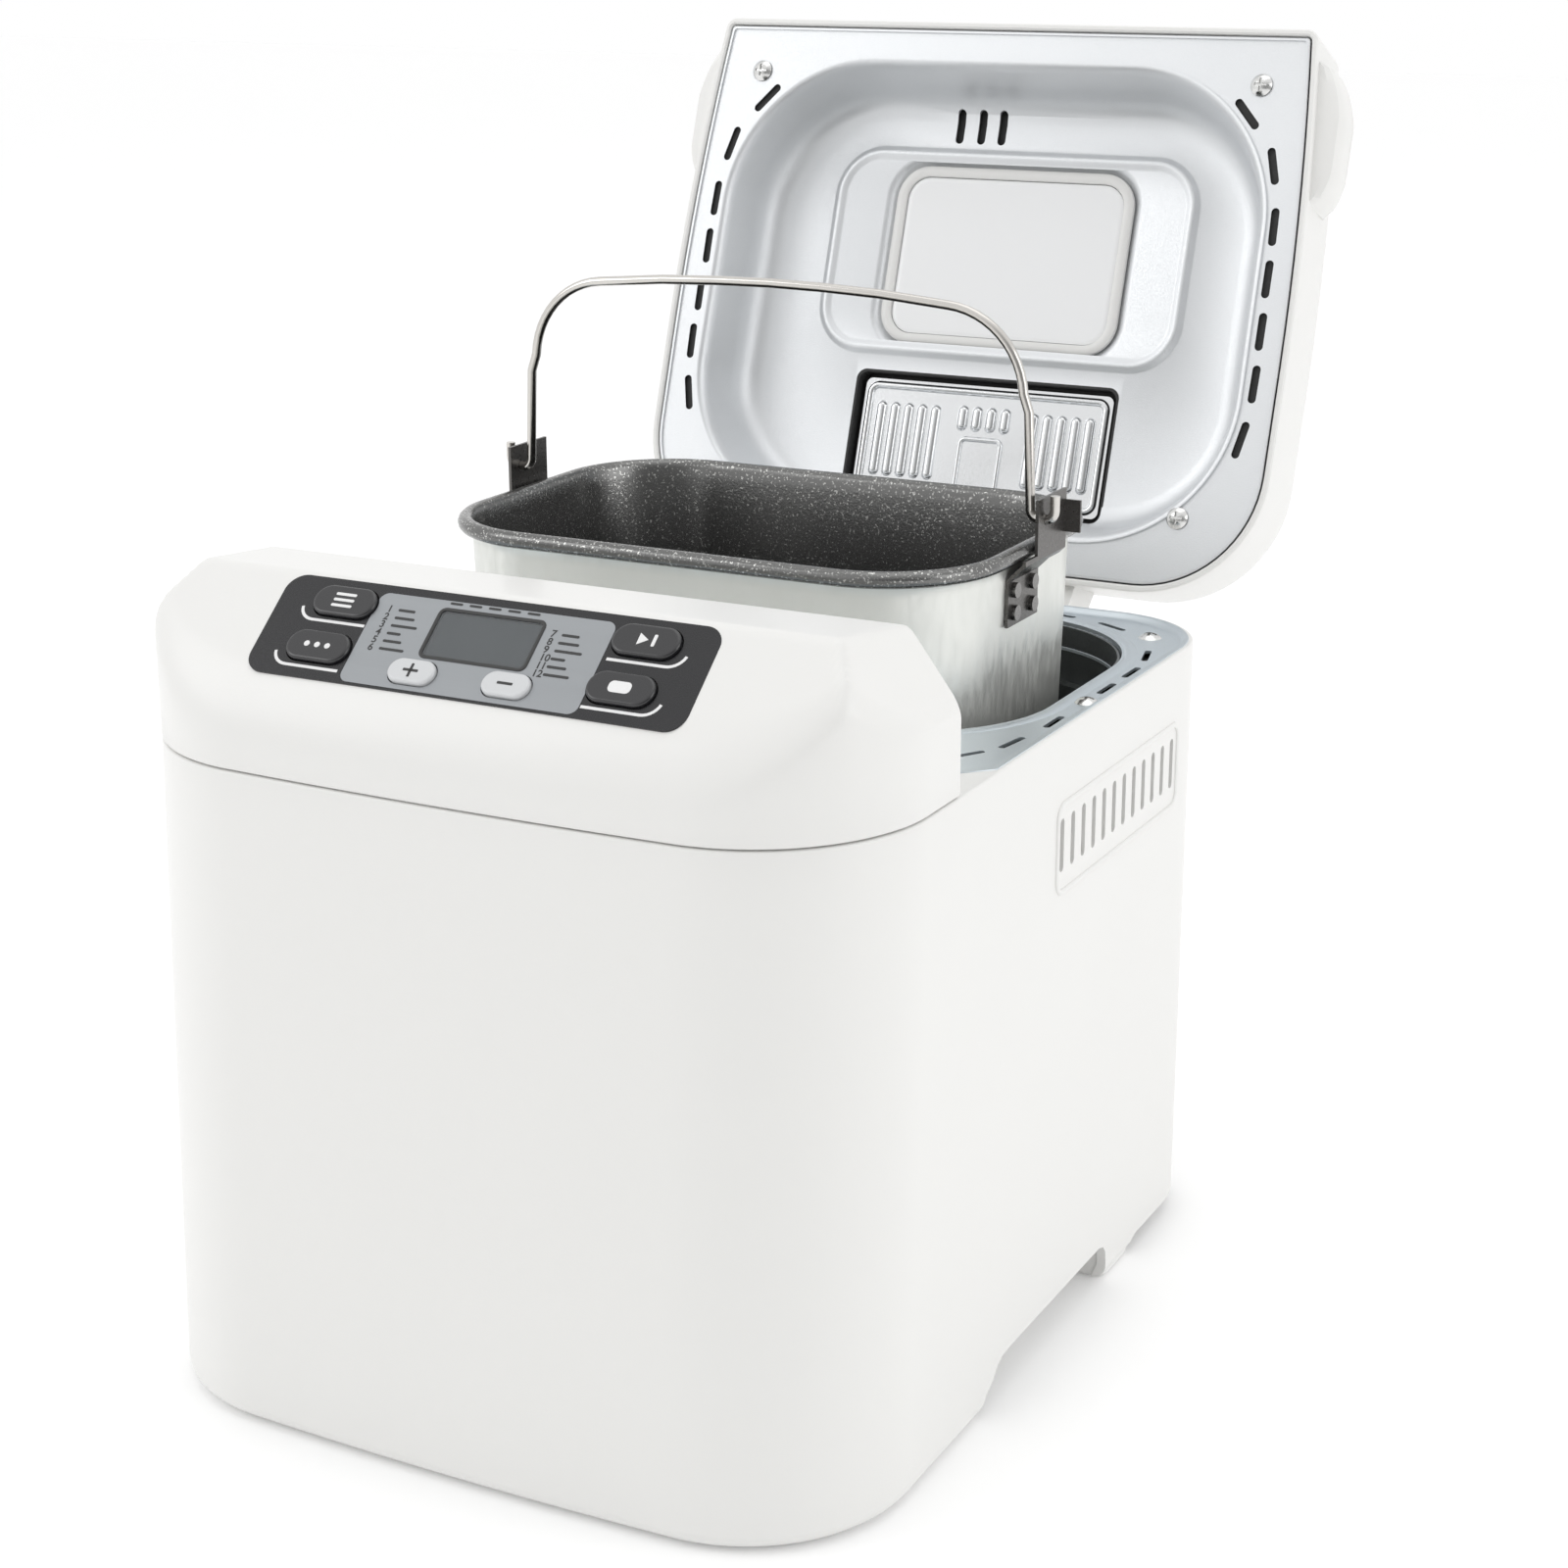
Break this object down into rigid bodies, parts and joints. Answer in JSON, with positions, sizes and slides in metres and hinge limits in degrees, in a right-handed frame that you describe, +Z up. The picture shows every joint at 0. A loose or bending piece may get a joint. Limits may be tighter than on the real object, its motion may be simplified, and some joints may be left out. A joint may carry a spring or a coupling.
{
  "type": "bread machine",
  "caption": "Upright bread machine with an open hinged lid, a sloping control panel, a lift-out baking pan on a bail handle, a kneading paddle and a belt drive.",
  "frame": {"origin": "on the floor plane, below the middle of the object's box in the rest pose", "axes": "+Z up, +X to the right seen from the front, +Y to the back, control panel on -Y"},
  "size_m": [0.251, 0.4218, 0.3862],
  "materials": {
    "white_plastic": "satin moulded",
    "panel_black": "gloss",
    "panel_silver": "fine brushed print",
    "clear_window": "clear",
    "display": "satin",
    "circuit_board": "solder mask",
    "component_plastic": "matte",
    "key_black": "satin",
    "key_silver": "satin",
    "screw_steel": "bright zinc",
    "aluminised_steel": "satin aluminised",
    "chamber_steel": "heat-dulled",
    "element_sheath": "oxidised",
    "insulator": "unglazed",
    "zinc_steel": "galvanised",
    "cast_alloy": "as cast",
    "bronze": "sintered",
    "shaft_steel": "ground",
    "belt_rubber": "matte",
    "foot_rubber": "matte",
    "fan_plastic": "matte",
    "window_glass": "lightly frosted",
    "louvre_steel": "bright stamped",
    "pan_aluminium": "satin outside, dark non-stick inside",
    "chrome_wire": "polished",
    "nonstick": "non-stick"
  },
  "bodies": {
    "root": {"body_shell": "white_plastic", "hinge_lugs": "white_plastic", "control_housing": "white_plastic", "base_plate": "white_plastic", "control_overlay": "panel_black", "overlay_centre": "panel_silver", "screen_window": "clear_window", "screen_module": "display", "control_board": "circuit_board", "power_board": "circuit_board", "tact_switches": "component_plastic", "board_parts": "component_plastic", "motor_capacitor": "component_plastic", "cord_gland": "component_plastic", "casing_screws": "screw_steel", "hinge_pins": "screw_steel", "deck_plate": "aluminised_steel", "oven_chamber": "chamber_steel", "temperature_sensor": "chamber_steel", "pan_locks": "chamber_steel", "element_clips": "chamber_steel", "heating_element": "element_sheath", "element_insulators": "insulator", "chassis": "zinc_steel", "motor_bracket": "zinc_steel", "motor_stator": "zinc_steel", "motor_end_cap": "zinc_steel", "bearing_housing": "cast_alloy", "shaft_bushes": "bronze", "drive_belt": "belt_rubber", "rubber_feet": "foot_rubber"},
    "lid": {"lid_shell": "white_plastic", "lid_arms": "white_plastic", "lid_liner": "aluminised_steel", "lid_windows": "window_glass", "window_gasket": "foot_rubber", "vent_cover": "louvre_steel", "vent_duct": "louvre_steel", "lid_screws": "screw_steel"},
    "pan": {"pan_shell": "pan_aluminium", "pan_base": "cast_alloy", "pan_ears": "pan_aluminium", "ear_rivets": "screw_steel"},
    "bail": {"bail_handle": "chrome_wire"},
    "paddle": {"paddle_shaft": "shaft_steel", "wing_coupling": "cast_alloy", "kneading_paddle": "nonstick"},
    "drive": {"drive_shaft": "shaft_steel", "drive_coupling": "cast_alloy", "large_pulley": "cast_alloy", "shaft_clip": "screw_steel"},
    "rotor": {"motor_rotor": "shaft_steel", "small_pulley": "cast_alloy", "motor_fan": "fan_plastic"},
    "button_upper_left": {"key_upper_left": "key_black"},
    "button_lower_left": {"key_lower_left": "key_black"},
    "button_upper_right": {"key_upper_right": "key_black"},
    "button_lower_right": {"key_lower_right": "key_black"},
    "button_plus": {"key_plus": "key_silver"},
    "button_minus": {"key_minus": "key_silver"}
  },
  "joints": [
    {"name": "lid_hinge", "type": "hinge", "parent": "root", "child": "lid", "pos_m": [0, 0.0883, 0.18805], "axis": [1, 0, 0], "range_deg": [0, 108.83]},
    {"name": "pan_lift", "type": "slide", "parent": "root", "child": "pan", "axis": [0, 0, 1], "range_m": [-0.0546, 0]},
    {"name": "bail_fold", "type": "hinge", "parent": "pan", "child": "bail", "pos_m": [0, -0.0139, 0.2505], "axis": [1, 0, 0], "range_deg": [0, 90.2]},
    {"name": "paddle_spin", "type": "hinge", "parent": "pan", "child": "paddle", "pos_m": [0, -0.0139, 0.12], "axis": [0, 0, 1], "continuous": true},
    {"name": "drive_spin", "type": "hinge", "parent": "root", "child": "drive", "pos_m": [0, -0.0139, 0.035], "axis": [0, 0, 1], "continuous": true},
    {"name": "motor_spin", "type": "hinge", "parent": "root", "child": "rotor", "pos_m": [0, -0.1419, 0.055], "axis": [0, 0, 1], "continuous": true},
    {"name": "press_upper_left", "type": "slide", "parent": "root", "child": "button_upper_left", "axis": [0, -0.6468, 0.7627], "range_m": [-0.0008, 0], "stiffness_N_per_m": 400},
    {"name": "press_lower_left", "type": "slide", "parent": "root", "child": "button_lower_left", "axis": [0, -0.6468, 0.7627], "range_m": [-0.0008, 0], "stiffness_N_per_m": 400},
    {"name": "press_upper_right", "type": "slide", "parent": "root", "child": "button_upper_right", "axis": [0, -0.6468, 0.7627], "range_m": [-0.0008, 0], "stiffness_N_per_m": 400},
    {"name": "press_lower_right", "type": "slide", "parent": "root", "child": "button_lower_right", "axis": [0, -0.6468, 0.7627], "range_m": [-0.0008, 0], "stiffness_N_per_m": 400},
    {"name": "press_plus", "type": "slide", "parent": "root", "child": "button_plus", "axis": [0, -0.6468, 0.7627], "range_m": [-0.0008, 0], "stiffness_N_per_m": 400},
    {"name": "press_minus", "type": "slide", "parent": "root", "child": "button_minus", "axis": [0, -0.6468, 0.7627], "range_m": [-0.0008, 0], "stiffness_N_per_m": 400}
  ],
  "couplings": [
    {"joint": "pan_lift", "follows": "lid_hinge", "m_per_rad": -0.028693},
    {"joint": "bail_fold", "follows": "lid_hinge", "ratio": 0.82698},
    {"joint": "paddle_spin", "follows": "drive_spin", "ratio": 1},
    {"joint": "motor_spin", "follows": "drive_spin", "ratio": 5.8571}
  ]
}
